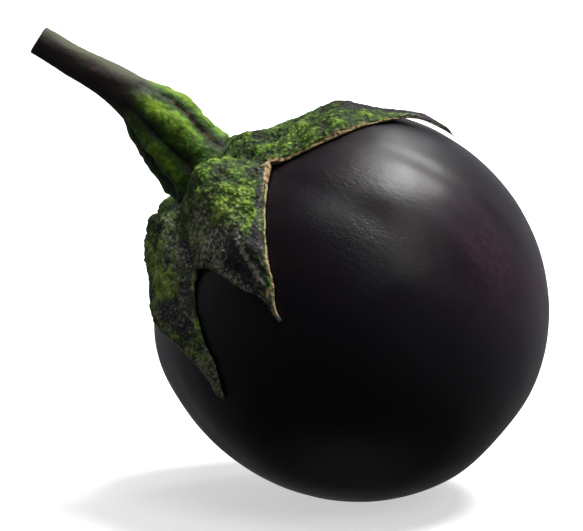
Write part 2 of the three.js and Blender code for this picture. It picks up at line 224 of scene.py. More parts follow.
def berry_radius(polar, azimuth):
    """The berry: nearly a ball, dipped under the calyx, flattened at the blossom end, very slightly lobed."""
    from_blossom = blossom_angle(polar, azimuth)
    roundness = math.sin(polar)
    radius = 1 / math.hypot(math.cos(polar) / AXIAL_RADIUS, roundness / WAIST_RADIUS)
    radius -= SHOULDER_DROP * bell(polar, math.radians(SHOULDER_SPREAD))
    radius -= BLOSSOM_DROP * bell(from_blossom, math.radians(BLOSSOM_SPREAD))
    for count, height, phase, fade in LOBES:
        radius += height * roundness**fade * math.cos(count * azimuth + phase)
    sag = SAG * bell(polar - math.radians(SAG_ANGLE), math.radians(SAG_SPREAD))
    radius += sag * max(0, -math.sin(azimuth)) ** 2
    radius += SCAR_RIM * bell(from_blossom - math.radians(SCAR_ANGLE), math.radians(SCAR_RIM_SPREAD))
    return radius - SCAR_DIMPLE * bell(from_blossom, math.radians(SCAR_DIMPLE_SPREAD))


def lumps(polar, azimuth):
    """Low lumps on the thick shoulders of the calyx."""
    first = math.sin(17 * polar + 3 * azimuth + 0.6) * math.sin(9 * azimuth - 4 * polar)
    second = math.sin(31 * polar - 1.3) * math.sin(5 * azimuth + 12 * polar + 2)
    return LUMP_HEIGHTS[0] * first + LUMP_HEIGHTS[1] * second


def sepal_place(index, along, across):
    """Polar angle, azimuth and free share of a sepal's point. along is -1 at the stalk axis, 0 at the hub's
    edge, 1 at the notches and 2 at the tip; across is -1 to 1."""
    sepal = SEPALS[index]
    start = NOTCHES[index]
    end = NOTCHES[(index + 1) % len(NOTCHES)]
    full_turn = 360 if index == len(NOTCHES) - 1 else 0
    share = (across + 1) / 2
    fused = clamp(along)
    notch_polar = blend(start["polar"], end["polar"], share)
    low = blend(start["hub"], start["azimuth"], fused)
    high = blend(end["hub"], end["azimuth"], fused) + full_turn
    if along <= 1:
        polar = HUB_ANGLE * (1 + along) if along < 0 else blend(HUB_ANGLE, notch_polar, along)
        return math.radians(polar), math.radians(blend(low, high, share)), 0.0
    free = along - 1
    polar = blend(notch_polar, sepal["tip"], free)
    shares = [
        early * (1 - free) ** sharp + (1 - early) * (1 - free) ** rest * (1 + bulge * free)
        for early, sharp, rest, bulge in sepal["draw"]
    ]
    tip_width = free * math.degrees(TIP_WIDTH / 2 / (WAIST_RADIUS * math.sin(math.radians(polar))))
    low_edge = blend(sepal["aim"], low, shares[0]) - tip_width
    high_edge = blend(sepal["aim"], high, shares[1]) + tip_width
    hook = sepal["hook"] * ease((free - 0.7) / 0.3)
    return math.radians(polar), math.radians(blend(low_edge, high_edge, share) + hook), free


def sepal_puff(sepal, polar):
    """The swollen shoulder of a sepal, above its plain thickness."""
    from_crest = polar - math.radians(CREST_ANGLE)
    spread = sepal["puff_spread"] if from_crest > 0 else CREST_RISE
    return (sepal["puff"] - sepal["blade"]) * bell(from_crest, math.radians(spread))


def groove_height(index, across, along, polar):
    """The bottom of the groove on one side of a sepal, which it shares with its neighbour."""
    neighbour = SEPALS[(index + (-1 if across < 0 else 1)) % len(SEPALS)]
    puff = (sepal_puff(SEPALS[index], polar) + sepal_puff(neighbour, polar)) / 2
    return GROOVE_THICKNESS + puff * blend(GROOVE_SHARE[0], GROOVE_SHARE[1], along)


def sepal_profile(sepal, along, across):
    """The cross-section of a sepal: 1 on its keel, falling to 0 at both sides."""
    hub, notch, tip = sepal["keel"]
    free = clamp(along - 1)
    keel = blend(blend(hub, notch, ease(along)), tip, ease(free**0.8))
    side = 0 if across < keel else 1
    off = (keel - across) / (1 + keel) if side == 0 else (across - keel) / (1 - keel)
    shoulder, leaf = sepal["shoulder"][side], sepal["leaf"][side]
    share = ease(free / 0.25)
    power, flare = blend(shoulder[0], leaf[0], share), blend(shoulder[1], leaf[1], share)
    return max(0.0, 1 - off**power) ** flare


def sepal_height(index, along, across, polar, azimuth, free):
    """How far a sepal's outer face stands off its inner face."""
    sepal = SEPALS[index]
    floor = FLOOR_HEIGHT / math.cos(polar) - berry_radius(polar, azimuth) - PIECE_GAP
    if along <= 0:
        return floor
    profile = sepal_profile(sepal, along, across)
    lump = lumps(polar, azimuth) * (1 - abs(across) ** 3)
    ridge = sepal["ridge"] * bell(polar - math.radians(sepal["ridge_angle"]), math.radians(RIDGE_SPREAD))
    crest = sepal_puff(sepal, polar) + ridge + sepal["blade"]
    if along <= 1:
        groove = groove_height(index, across, along, polar)
        shoulder = groove + (crest + lump - groove) * profile
        return blend(floor, shoulder, ease(along / ROOT_SHARE))
    margin = sepal["edge"][0 if across < 0 else 1] * (1 - 0.4 * ease((free - 0.5) / 0.5))
    edge = blend(groove_height(index, across, 1, polar), margin, ease(free / GROOVE_END))
    body = crest - 0.5 * sepal["blade"] * free + lump * (1 - free)
    return edge + max(body - edge, 0) * profile


def sepal_lift(sepal, free):
    """How far a sepal's free blade stands off the berry."""
    bow = math.sin(math.pi * ease((free - 0.5) / 0.5))
    return sepal["lift"] * ease((free - 0.45) / 0.55) + sepal["arch"] * bow


def along_rows(rows, share):
    """A Catmull-Rom curve through rows of numbers, from the first at 0 to the last at 1."""
    place = share * (len(rows) - 1)
    i = min(int(place), len(rows) - 2)
    f = place - i
    around = (rows[max(i - 1, 0)], rows[i], rows[i + 1], rows[min(i + 2, len(rows) - 1)])
    return [
        0.5 * (2 * b + (c - a) * f + (2 * a - 5 * b + 4 * c - d) * f * f + (3 * b - a - 3 * c + d) * f**3)
        for a, b, c, d in zip(*around)
    ]


def rib_wave(share, angle):
    """1 on a rib's crest, and falling sharply in the groove between two."""
    run = clamp(share / RIBBED_SHARE)
    grooves = [blend(base, top, run) for base, top in RIB_GROOVES]
    turned = grooves[0] + (math.degrees(angle) - grooves[0]) % 360
    for low, high in zip(grooves, grooves[1:] + [grooves[0] + 360]):
        if turned <= high:
            return math.sin(math.pi * (turned - low) / (high - low)) ** 0.8
    return 0.0


def stalk_point(share, angle, extra=0.0):
    """A point of the stalk's surface, or one that stands extra mm off it. The stalk is ribbed and lumpy where
    it swells, and nearly round towards the cut."""
    side, height, radius = along_rows(STALK, share)
    ahead = along_rows(STALK, min(1, share + 0.01))
    behind = along_rows(STALK, max(0, share - 0.01))
    lean = math.atan2(ahead[0] - behind[0], ahead[1] - behind[1]) * ease(share / 0.25)
    ribs = RIB_DEPTH * ease((share - 0.02) / 0.12) * (1 - ease((share - 0.35) / 0.4))
    knots = math.sin(26 * share + 2 * angle) * math.sin(3 * angle + 9 * share)
    wave = 1.6 * rib_wave(share, angle) - 1
    out = radius * (1 + ribs * wave + KNOT_DEPTH * ease(share / 0.1) * knots) + extra
    y = out * math.sin(angle)
    return Vector((out * math.cos(angle), side + y * math.cos(lean), height - y * math.sin(lean)))


# ---- The plant frame on the table ----


def table_from_plant():
    """The plant frame laid on the table, on the berry's flat spot, and turned from millimetres to metres."""
    lean = math.radians(STALK_ELEVATION)
    axis = Vector((-math.cos(lean), 0, math.sin(lean)))
    front = Vector((0, -1, 0))
    turn = Matrix((front, axis.cross(front), axis)).transposed().to_4x4()
    centre = berry_radius(math.pi / 2 + lean, -math.pi / 2) - REST_DEPTH
    return Matrix.Scale(MILLIMETRE, 4) @ Matrix.Translation((0, 0, centre)) @ turn


TABLE_FROM_PLANT = table_from_plant()
CENTRE = TABLE_FROM_PLANT.translation

# ---- Settings that a user would change ----


def colour_setting(name, description, hex_colour):
    """A colour that the panel shows."""
    colour = linear(hex_colour)
    return FloatVectorProperty(name=name, description=description, subtype="COLOR", default=colour)


class EggplantBerrySettings(bpy.types.PropertyGroup):
    skin: colour_setting("Skin", "Colour of the ripe skin", "#130c13")
    blush: colour_setting("Blush", "Warm purple of the thinner-coloured patches", "#3a1f2f")
    scar: colour_setting("Blossom scar", "Corky scar at the blossom end", "#8a6f4e")
    roughness: FloatProperty(
        name="Roughness", description="Roughness of the wax", subtype="FACTOR", min=0, max=1, default=0.37
    )


class EggplantCalyxSettings(bpy.types.PropertyGroup):
    # Bright green of the grains' crests, partly a painted highlight.
    fresh_and_lit: colour_setting("Fresh green", "Raised grains of the fresh sepals", "#9cb94c")
    green: colour_setting("Leaf green", "The sepals' sides and middle heights", "#4f7026")
    # Painted shade: the hollows between the grains and the dull parts take this dark green.
    deep_and_hollow_shade: colour_setting("Deep green", "Hollows between the grains", "#2b2f24")
    dusk: colour_setting("Dusky purple", "Aged and sun-darkened parts", "#2b2430")
    margin: colour_setting("Dry margin", "Dry, corky edges", "#cdb784")
    rust: colour_setting("Rust", "Reddish brown of the dry spots", "#6a4630")
    # Grey of the dried hairs, and of the painted glints and sheen on the grains.
    hairs_and_glints: colour_setting("Dried hairs", "Grey of the dried hairs", "#a9a795")
    grain_height: FloatProperty(
        name="Grain height", description="How far the grains stand up", unit="LENGTH", default=0.0009
    )
    grain_size: FloatProperty(
        name="Grain size", description="Spacing of the grains", unit="LENGTH", default=0.0012
    )


class EggplantStalkSettings(bpy.types.PropertyGroup):
    # Bright green of the ribs' crests, partly a painted highlight.
    fresh_and_lit: colour_setting("Rib green", "Crests of the ribs", "#8fb630")
    green: colour_setting("Side green", "Sides of the ribs", "#476c1f")
    # Painted shade: the grooves between the ribs take this dark green.
    deep_and_hollow_shade: colour_setting("Groove green", "Grooves between the ribs", "#2f3628")
    bark: colour_setting("Bark", "The slender, woody part", "#3a3431")
    # Olive patches on the bark, and the olive painted highlight along its top.
    moss: colour_setting("Bark green", "Olive patches on the bark", "#62664a")
    rust: colour_setting("Rust", "Reddish marks between the ribs", "#74472a")
    cut: colour_setting("Cut wood", "The dried cut face", "#8a7a5c")


class EggplantStageSettings(bpy.types.PropertyGroup):
    floor: colour_setting("Floor", "Colour of the floor", "#f4f4f4")
    key: FloatProperty(
        name="Key light", description="Irradiance of the high soft light, W per square metre", default=3.4
    )
    top: FloatProperty(
        name="Top light", description="Irradiance of the light behind the top, W per square metre",
        default=0.35,
    )
    fill: FloatProperty(
        name="Fill light", description="Irradiance of the wide front light, W per square metre", default=0.6
    )
    sky: FloatProperty(name="Room light", description="Strength of the light all round", default=0.06)


# ---- Materials ----


def add_node(tree, kind, inputs=None, output=0, **settings):
    """Adds a node with its settings, gives each input its value or its link, and returns one of its
    outputs."""
    node = tree.nodes.new(kind)
    for name, value in settings.items():
        setattr(node, name, value)
    for key, value in (inputs or {}).items():
        if isinstance(value, bpy.types.NodeSocket):
            tree.links.new(value, node.inputs[key])
        elif node.inputs[key].type == "RGBA":
            node.inputs[key].default_value = (*value, 1)
        else:
            node.inputs[key].default_value = value
    return node.outputs[output] if node.outputs else None


def new_material(name):
    """An empty node material and its tree."""
    material = bpy.data.materials.new(name)
    material.use_nodes = True
    material.node_tree.nodes.clear()
    return material, material.node_tree


CLOUDS_PER_METRE = 60.0  # soft clouds in the skin's wax and colour, one every 17 mm
WRINKLE_DEPTH = 0.00018  # of the skin's finest wrinkles, m
STALK_BUMP = 0.0005  # height of the stalk's grain, m
STALK_BEADS = 0.0014  # spacing of the beads in it, m
MOST_PAINT = 1.5  # the sepals' paints run from 0 to this

# A Mix node's settings and sockets for colours.
COLOURS = {"data_type": "RGBA", "clamp_factor": True}
MIX_A, MIX_B, MIX_OUT = 6, 7, 2


def lay_colours(tree, colour, layers):
    """Lays colours over the first one. Each layer has the pattern that it follows, where on that pattern it
    starts and is full, how much it covers there, and its colour."""
    for level, start, full, cover, paint in layers:
        share = add_node(tree, "ShaderNodeMapRange", {0: level, 1: start, 2: full, 4: cover}, clamp=True)
        colour = add_node(tree, "ShaderNodeMix", {0: share, MIX_A: colour, MIX_B: paint}, MIX_OUT, **COLOURS)
    return colour


def add_finish(tree, finish):
    """Ends a material's tree with its shader, which takes the finish."""
    shader = add_node(tree, "ShaderNodeBsdfPrincipled", finish)
    add_node(tree, "ShaderNodeOutputMaterial", {"Surface": shader})


def beaded(tree, place, size, smoothness, height):
    """A pattern of rounded beads of one size in metres, from 0 between them to their height."""
    beads = {"Vector": place, "Scale": 1 / size, "Smoothness": smoothness}
    cells = add_node(tree, "ShaderNodeTexVoronoi", beads, "Distance", feature="SMOOTH_F1")
    return add_node(tree, "ShaderNodeMapRange", {0: cells, 1: 0.75, 2: 0.1, 3: 0.0, 4: height}, clamp=True)


def waxy_skin(settings):
    """Ripe skin: nearly black purple under a thin wax with a wide satin glow. Fine wrinkles break the glow up
    where the skin has begun to slacken, and mottled patches of thinner colour show a warmer purple."""
    material, tree = new_material("ripe_waxy_eggplant_skin")
    place = add_node(tree, "ShaderNodeTexCoord", output="Object")
    streak = add_node(tree, "ShaderNodeAttribute", output="Vector", attribute_name="streak")
    blush, worn, scar = [
        add_node(tree, "ShaderNodeAttribute", output="Fac", attribute_name=name)
        for name in ("blush", "worn", "scar")
    ]
    fibres = {"Vector": streak, "Scale": 1.0, "Detail": 4.0, "Roughness": 0.6, "Distortion": 0.6}
    wrinkles = add_node(tree, "ShaderNodeTexNoise", fibres)
    haze = {"Vector": place, "Scale": CLOUDS_PER_METRE, "Detail": 4.0}
    clouds = add_node(tree, "ShaderNodeTexNoise", haze)
    patchy = add_node(tree, "ShaderNodeMapRange", {0: clouds, 1: 0.35, 2: 0.6, 3: 0.3, 4: 1.0}, clamp=True)
    ruffled = add_node(tree, "ShaderNodeMath", {0: worn, 1: patchy}, operation="MULTIPLY")
    height = add_node(tree, "ShaderNodeMath", {0: wrinkles, 1: ruffled}, operation="MULTIPLY")
    mottle = add_node(tree, "ShaderNodeMapRange", {0: wrinkles, 1: 0.3, 2: 0.7, 3: 0.4, 4: 1.6}, clamp=True)
    faint = add_node(tree, "ShaderNodeMath", {0: blush, 1: patchy}, operation="MULTIPLY")
    patch = add_node(tree, "ShaderNodeMath", {0: faint, 1: mottle}, operation="MULTIPLY")
    thinned = {0: patch, MIX_A: settings.skin, MIX_B: settings.blush}
    skin = add_node(tree, "ShaderNodeMix", thinned, MIX_OUT, **COLOURS)
    colour = add_node(tree, "ShaderNodeMix", {0: scar, MIX_A: skin, MIX_B: settings.scar}, MIX_OUT, **COLOURS)
    satin = {0: clouds, 1: 0.3, 2: 0.7, 3: settings.roughness - 0.03, 4: settings.roughness + 0.06}
    rough = add_node(tree, "ShaderNodeMapRange", satin)
    corky = add_node(tree, "ShaderNodeMix", {0: scar, 2: rough, 3: 0.85}, data_type="FLOAT")
    bump = add_node(tree, "ShaderNodeBump", {"Strength": 1.0, "Distance": WRINKLE_DEPTH, "Height": height})
    wax = {"Base Color": colour, "Roughness": corky, "Normal": bump, "IOR": 1.45, "Specular IOR Level": 0.4}
    add_finish(tree, wax)
    return material


def sepal_flesh(settings):
    """Fleshy sepals: matt granular green with painted shade in the hollows between the grains and a painted
    highlight on their crests, dusky purple with age, veiled and specked by grey dried hairs and by painted
    glints and sheen, and tan and corky along the edges."""
    material, tree = new_material("granular_sepal_flesh")
    place = add_node(tree, "ShaderNodeTexCoord", output="Object")
    lump, fresh_and_lit, dusk, dry, hairs_and_glints = [
        add_node(tree, "ShaderNodeAttribute", output="Fac", attribute_name=name)
        for name in ("grain", "fresh_and_lit", "dusk", "dry", "hairs_and_glints")
    ]
    # Cloudy patterns, by the size of their features in metres and their detail.
    tufts, fine, spots, clumps, clouds, specks = [
        add_node(tree, "ShaderNodeTexNoise", {"Vector": place, "Scale": 1 / size, "Detail": detail})
        for size, detail in (
            (1.4 * settings.grain_size, 3.0), (0.0007, 2.0), (0.0016, 2.0),
            (0.0034, 2.0), (0.0065, 3.0), (0.0009, 3.0),
        )
    ]
    # The relief that the bump shows, and the level that the greens follow: hollows get painted shade, crests
    # a painted highlight.
    relief = beaded(tree, place, settings.grain_size, 0.4, 0.6)
    for part, weight in ((tufts, 1.1), (fine, 0.3), (clumps, 0.7)):
        relief = add_node(tree, "ShaderNodeMath", {0: part, 1: weight, 2: relief}, operation="MULTIPLY_ADD")
    raised_and_shading = relief
    for part, weight in ((lump, 0.7), (fresh_and_lit, 0.8)):
        raised_and_shading = add_node(tree, "ShaderNodeMath", {0: part, 1: weight, 2: raised_and_shading}, operation="MULTIPLY_ADD")
    dusky = add_node(tree, "ShaderNodeMath", {0: clouds, 1: 0.7, 2: dusk}, operation="MULTIPLY_ADD")
    # Painted glints: grey specks of dried hairs that also stand for glints on the grains.
    hair_and_glint_specks = add_node(tree, "ShaderNodeMath", {0: hairs_and_glints, 1: 0.28, 2: specks}, operation="MULTIPLY_ADD")
    spotted = add_node(tree, "ShaderNodeMath", {0: fine, 1: 0.35}, operation="MULTIPLY")
    patchy = add_node(tree, "ShaderNodeMath", {0: spots, 1: 0.45, 2: spotted}, operation="MULTIPLY_ADD")
    corky = add_node(tree, "ShaderNodeMath", {0: dry, 1: 0.8, 2: patchy}, operation="MULTIPLY_ADD")
    cork = lay_colours(tree, settings.rust, [(spots, 0.36, 0.54, 1.0, settings.margin)])
    # Painted shade and highlight: deep green in the hollows and low grains, then green and fresh green up to
    # the crests.
    layers = [
        (raised_and_shading, 1.35, 2.1, 1.0, settings.green),
        (raised_and_shading, 1.9, 2.7, 1.0, settings.fresh_and_lit),
        (dusky, 0.62, 1.05, 0.93, settings.dusk),
        (hairs_and_glints, 0.0, MOST_PAINT, 0.135, settings.hairs_and_glints),
        (hair_and_glint_specks, 0.68, 0.88, 0.8, settings.hairs_and_glints),
        (corky, 0.85, 1.15, 1.0, cork),
    ]
    colour = lay_colours(tree, settings.deep_and_hollow_shade, layers)
    plump = add_node(tree, "ShaderNodeMapRange", {0: fresh_and_lit, 1: 0.0, 2: 0.8, 3: 0.5, 4: 1.0}, clamp=True)
    pebbled = {"Strength": plump, "Distance": settings.grain_height, "Height": relief}
    bump = add_node(tree, "ShaderNodeBump", pebbled)
    matt = {"Base Color": colour, "Roughness": 0.65, "Normal": bump, "Specular IOR Level": 0.15}
    add_finish(tree, matt)
    return material


def stalk_skin(settings):
    """Green ribbed stalk with painted shade in the grooves between its ribs and a painted highlight on their
    crests, that turns to dark thin bark with olive patches and an olive painted highlight along its top,
    rusty in its grooves, and a dry cut face."""
    material, tree = new_material("ribbed_stalk_skin_and_bark")
    place = add_node(tree, "ShaderNodeTexCoord", output="Object")
    lump, bark, cut, fresh_and_lit, rust = [
        add_node(tree, "ShaderNodeAttribute", output="Fac", attribute_name=name)
        for name in ("grain", "bark", "cut", "fresh_and_lit", "rust")
    ]
    # Cloudy patterns, by the size of their features in metres and their detail.
    cloudy = {"Vector": place, "Roughness": 0.55}
    fine, moss = [
        add_node(tree, "ShaderNodeTexNoise", {**cloudy, "Scale": 1 / size, "Detail": detail})
        for size, detail in ((0.0007, 4.0), (0.0026, 5.0))
    ]
    relief = beaded(tree, place, STALK_BEADS, 0.5, 0.3)
    for part, weight in ((moss, 1.1), (fine, 0.4)):
        relief = add_node(tree, "ShaderNodeMath", {0: part, 1: weight, 2: relief}, operation="MULTIPLY_ADD")
    raised_and_shading = relief
    for part, weight in ((lump, 1.0), (fresh_and_lit, 0.9)):
        raised_and_shading = add_node(tree, "ShaderNodeMath", {0: part, 1: weight, 2: raised_and_shading}, operation="MULTIPLY_ADD")
    mossy_and_lit_top = add_node(tree, "ShaderNodeMath", {0: moss, 1: 0.35, 2: fresh_and_lit}, operation="MULTIPLY_ADD")
    rusty = add_node(tree, "ShaderNodeMath", {0: moss, 1: 2.0, 2: rust}, operation="MULTIPLY_ADD")
    # Painted shade and highlight: deep green in the grooves, then green and fresh green up to the ribs'
    # crests.
    greens = [(raised_and_shading, 1.2, 2.1, 1.0, settings.green), (raised_and_shading, 1.9, 2.7, 1.0, settings.fresh_and_lit)]
    green = lay_colours(tree, settings.deep_and_hollow_shade, greens)
    # Olive patches on the bark, and an olive painted highlight along its top.
    woody = lay_colours(tree, settings.bark, [(mossy_and_lit_top, 0.3, 0.95, 1.0, settings.moss)])
    aged = add_node(tree, "ShaderNodeMix", {0: bark, MIX_A: green, MIX_B: woody}, MIX_OUT, **COLOURS)
    marked = lay_colours(tree, aged, [(rusty, 1.45, 2.05, 0.75, settings.rust)])
    colour = add_node(tree, "ShaderNodeMix", {0: cut, MIX_A: marked, MIX_B: settings.cut}, MIX_OUT, **COLOURS)
    smooth = add_node(tree, "ShaderNodeMapRange", {0: bark, 1: 0.0, 2: 1.0, 3: 1.0, 4: 0.3}, clamp=True)
    bump = add_node(tree, "ShaderNodeBump", {"Strength": smooth, "Distance": STALK_BUMP, "Height": relief})
    matt = {"Base Color": colour, "Roughness": 0.6, "Normal": bump, "Specular IOR Level": 0.2}
    add_finish(tree, matt)
    return material


# ---- Pieces ----


def link_object(bm, name, material):
    """Makes the bmesh an object at the origin."""
    mesh = bpy.data.meshes.new(name)
    bm.to_mesh(mesh)
    bm.free()
    mesh.materials.append(material)
    piece = bpy.data.objects.new(name, mesh)
    bpy.context.scene.collection.objects.link(piece)
    return piece


def finish_piece(bm, name, material, node):
    """Makes the bmesh a smooth piece on the table that stands for a solid and rides with it."""
    bm.transform(TABLE_FROM_PLANT)
    piece = link_object(bm, name, material)
    piece.data.shade_smooth()
    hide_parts(node)
    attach(piece, "root")
    return piece


# Shallow furrows down the berry: azimuth at the polar angle FURROWS_AT, drift per degree, depth in mm, half
# width.
FURROWS_AT = 58
FURROWS = [
    (27.0, 0.05, 0.5, 5.5), (54.5, 0.0, 0.3, 3.2), (84, 0.05, 0.25, 7), (128, -0.1, 0.3, 8),
    (171, 0.1, 0.25, 7), (212, 0.0, 0.3, 9), (251, 0.1, 0.25, 7), (-72, 0.05, 0.2, 7), (-24, 0.1, 0.12, 8),
]
# Low dents all over the berry: depth in mm, and how many lie along its radius.
DENTS = [(0.16, 3.1), (0.1, 7.3)]
# Thinner-coloured patches: polar angle, azimuth, length and width in degrees, strength.
BLUSHES = [(98, 42, 32, 14, 0.75), (128, 62, 18, 14, 0.5), (96, 150, 30, 16, 0.45), (70, -100, 20, 12, 0.35)]
# Patches where the skin is finely wrinkled, in the same measures, and how wrinkled it is everywhere.
WRINKLES = [(58, 28, 22, 16, 0.8), (84, 20, 20, 16, 0.4), (60, 140, 26, 30, 0.6), (66, -110, 30, 24, 0.5)]
LEAST_WORN = 0.2
# The wrinkles in a radian round the berry, each 1.2 mm wide, and down it, each 2.3 mm long.
WRINKLES_ROUND = 44
WRINKLES_DOWN = 24
# How uneven the scar's rim is, as a share of its angle, and how many degrees its colour takes to fade.
SCAR_RAGGEDNESS = 0.25
SCAR_FADE = 0.8


def furrow_depth(polar, azimuth):
    """How deep the furrows are, in mm. They fade out under the calyx and towards the blossom end."""
    down = math.degrees(polar)
    total = 0.0
    for start, drift, depth, width in FURROWS:
        total += depth * bell(turn_from(start + drift * (down - FURROWS_AT), azimuth), width)
    return total * ease((down - 25) / 30) * ease((135 - down) / 60)


def patch_share(patches, along, azimuth):
    """The share of a paint, from patches of place along the piece, azimuth, length, width and strength."""
    total = 0.0
    for place, start, length, width, strength in patches:
        total += strength * bell(along - place, length) * bell(turn_from(start, azimuth), width)
    return clamp(total)


def make_berry(settings):
    bm = bmesh.new()
    bmesh.ops.create_uvsphere(bm, u_segments=BERRY_SIDES, v_segments=BERRY_ROWS, radius=1.0)
    streak = bm.verts.layers.float_vector.new("streak")
    blush, worn, scar = [bm.verts.layers.float.new(name) for name in ("blush", "worn", "scar")]
    for vert in bm.verts:
        even = math.acos(clamp(vert.co.z, -1, 1))
        polar = even - BERRY_CROWDING * math.sin(2 * even)
        down = math.degrees(polar)
        azimuth = math.atan2(vert.co.y, vert.co.x)
        direction = polar_point(1, polar, azimuth)
        dents = sum(depth * noise.noise(direction * pace) for depth, pace in DENTS)
        relief = dents * math.sin(polar) - furrow_depth(polar, azimuth)
        vert.co = direction * (berry_radius(polar, azimuth) + relief)
        vert[streak] = (
            WRINKLES_ROUND * math.cos(azimuth), WRINKLES_ROUND * math.sin(azimuth), WRINKLES_DOWN * polar
        )
        vert[blush] = patch_share(BLUSHES, down, azimuth)
        vert[worn] = clamp(LEAST_WORN + patch_share(WRINKLES, down, azimuth))
        from_blossom = math.degrees(blossom_angle(polar, azimuth))
        ragged = SCAR_ANGLE * (1 + SCAR_RAGGEDNESS * noise.noise(direction * 60))
        vert[scar] = 1 - ease((from_blossom - ragged + SCAR_FADE / 2) / SCAR_FADE)
    # The small flat spot that it rests on.
    to_plant = TABLE_FROM_PLANT.inverted()
    for vert in bm.verts:
        on_table = TABLE_FROM_PLANT @ vert.co
        if on_table.z < 0:
            on_table.z = 0
            vert.co = to_plant @ on_table
    return finish_piece(bm, "berry", waxy_skin(settings), "fruit")


def add_sheet(bm, columns, rows, place):
    """Adds a grid and moves its corners: place takes the shares across and along, each 0 to 1."""
    corners = bmesh.ops.create_grid(bm, x_segments=columns, y_segments=rows, size=0.5)["verts"]
    for vert in corners:
        vert.co = place(vert, vert.co.x + 0.5, vert.co.y + 0.5)


def row_along(share):
    """A sepal's along, -1 to 2, for a share of its rows."""
    row = share * SEPAL_ROWS
    if row <= HUB_ROWS:
        return row / HUB_ROWS - 1
    row -= HUB_ROWS
    return row / SHOULDER_ROWS if row <= SHOULDER_ROWS else 1 + (row - SHOULDER_ROWS) / BLADE_ROWS


def column_across(share):
    """A sepal's across, -1 to 1, for a share of its columns."""
    return math.sin((share - 0.5) * math.pi * SEPAL_CROWDING) / math.sin(SEPAL_CROWDING / 2 * math.pi)


# Colour patches of the sepals: along, across, length, width and strength of each. Fresh is bright green and
# partly painted light, dusk dark purple, dry corky tan, and ash grey with dried hairs and with painted glints
# and sheen.
PAINTS = ("fresh_and_lit", "dusk", "dry", "hairs_and_glints")
FRESH_AND_LIT, DUSK, DRY, HAIRS_AND_GLINTS = range(len(PAINTS))
PATCHES = {
    # Painted light: the front sepal's fresh patches are partly its own green and partly light painted on its
    # side that faces the light.
    (FRONT, FRESH_AND_LIT): [
        (0.95, 0.1, 0.22, 0.34, 0.85), (0.2, 0.45, 0.14, 0.4, 0.8), (0.75, -0.7, 0.15, 0.2, 0.3),
        (1.2, 0.42, 0.14, 0.2, 0.8), (0.65, 0.3, 0.12, 0.25, 0.25),
    ],
    (FRONT, DUSK): [
        (1.35, -0.2, 0.2, 0.4, 1.2), (1.55, -0.1, 0.16, 0.35, 1.1), (1.15, 0.74, 0.5, 0.12, 0.7),
        (1.02, -0.42, 0.12, 0.2, 0.6), (1.25, -0.6, 0.3, 0.4, 0.35), (1.55, -0.75, 0.25, 0.3, 0.6),
        (0.75, -1.0, 0.35, 0.14, 0.7), (1.44, 0.6, 0.12, 0.2, 0.9), (0.62, -0.25, 0.2, 0.12, 0.5),
    ],
    (FRONT, DRY): [
        (0.97, 0.95, 0.15, 0.14, 1.3), (1.78, 0.1, 0.06, 0.9, 1.1), (1.62, 0.95, 0.1, 0.14, 0.8),
        (1.05, -0.3, 0.06, 0.14, 0.5), (1.93, 0.0, 0.07, 2.0, 1.0), (1.1, 0.86, 0.4, 0.06, 0.45),
    ],
    (FRONT, HAIRS_AND_GLINTS): [
        (1.4, 0.04, 0.18, 0.12, 1.3), (1.62, 0.0, 0.1, 0.2, 1.2), (1.95, 0.5, 0.14, 1.5, 1.3),
        (1.15, 0.8, 0.4, 0.14, 0.5), (0.8, -0.6, 0.35, 0.35, 0.9), (1.08, -0.05, 0.12, 0.4, 0.5),
        (1.15, -0.75, 0.2, 0.3, 0.35), (1.5, -0.9, 0.3, 0.14, 1.0),
    ],
    (UPPER, FRESH_AND_LIT): [(0.8, -0.3, 0.35, 0.5, 0.3), (1.5, -0.6, 0.12, 0.35, 0.35), (1.15, -0.5, 0.2, 0.4, 0.2)],
    (UPPER, DUSK): [(1.4, 0.35, 0.18, 0.5, 1.2), (1.78, 0.3, 0.22, 1.0, 0.9), (1.95, 0, 0.22, 2, 1.3)],
    (UPPER, DRY): [(1.36, -0.95, 0.14, 0.14, 0.7), (0.97, -0.97, 0.12, 0.09, 1.1)],
    (UPPER, HAIRS_AND_GLINTS): [(1.7, -0.6, 0.12, 0.6, 0.6)],
    (LOWER, FRESH_AND_LIT): [(0.62, 0.1, 0.28, 0.4, 1.0), (0.95, 0.2, 0.2, 0.45, 1.0), (1.7, 0.0, 0.2, 0.5, 0.35)],
    (LOWER, DUSK): [
        (1.32, 0.35, 0.16, 0.45, 1.2), (1.12, 0.1, 0.08, 0.4, 0.7), (1.05, 0.85, 0.3, 0.12, 0.6),
        (0.7, 1.0, 0.35, 0.12, 0.8), (1.95, 0.0, 0.1, 1.5, 0.6),
    ],
    (LOWER, DRY): [(1.08, 0.93, 0.14, 0.1, 0.45), (1.97, 0.3, 0.05, 1.5, 0.8)],
    (LOWER, HAIRS_AND_GLINTS): [(1.35, -0.9, 0.4, 0.16, 1.1), (1.8, 0.0, 0.22, 1.2, 0.5), (0.6, 0.75, 0.3, 0.2, 0.5)],
    (BACK_UPPER, FRESH_AND_LIT): [(0.6, 0.0, 0.4, 0.5, 0.6)],
    (BACK_UPPER, DUSK): [(1.5, 0.3, 0.2, 0.5, 0.9)],
    (BACK_UPPER, DRY): [(1.9, 0.0, 0.1, 1.0, 0.7)],
    (BACK_LOWER, FRESH_AND_LIT): [(0.7, 0.1, 0.4, 0.5, 0.6)],
    (BACK_LOWER, DUSK): [(1.4, -0.2, 0.2, 0.5, 0.8)],
    (BACK_LOWER, HAIRS_AND_GLINTS): [(1.8, 0.0, 0.2, 1.0, 0.6)],
}
# How grey each sepal is all over, with dried hairs and painted sheen.
GREYNESS_AND_SHEEN = {FRONT: 0.15, UPPER: 0.0, BACK_UPPER: 0.1, BACK_LOWER: 0.2, LOWER: 0.5}
